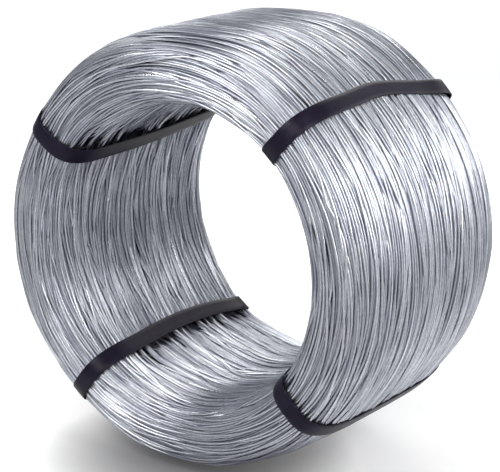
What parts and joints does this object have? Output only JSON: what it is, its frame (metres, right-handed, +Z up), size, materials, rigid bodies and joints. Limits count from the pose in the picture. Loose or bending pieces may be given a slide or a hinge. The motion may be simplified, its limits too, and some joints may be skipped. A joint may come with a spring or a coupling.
{
  "type": "strapped coil of steel wire",
  "caption": "Coil of bright galvanized steel wire with a rounded section and an open bore, tied by flat black straps and standing on its rim.",
  "frame": {"origin": "on the floor under the middle of the coil, where its rim rests", "axes": "+Y along the bore towards the far end, +Z up, +X to the right as the near end is faced"},
  "size_m": [0.4099, 0.2437, 0.41],
  "materials": {
    "galvanized_wire": "bright zinc, satin",
    "black_strapping": "satin"
  },
  "bodies": {
    "root": {"wire_coil": "galvanized_wire", "strap_upper_left": "black_strapping", "strap_upper_right": "black_strapping", "strap_lower_left": "black_strapping", "strap_lower_right": "black_strapping"}
  },
  "joints": []
}
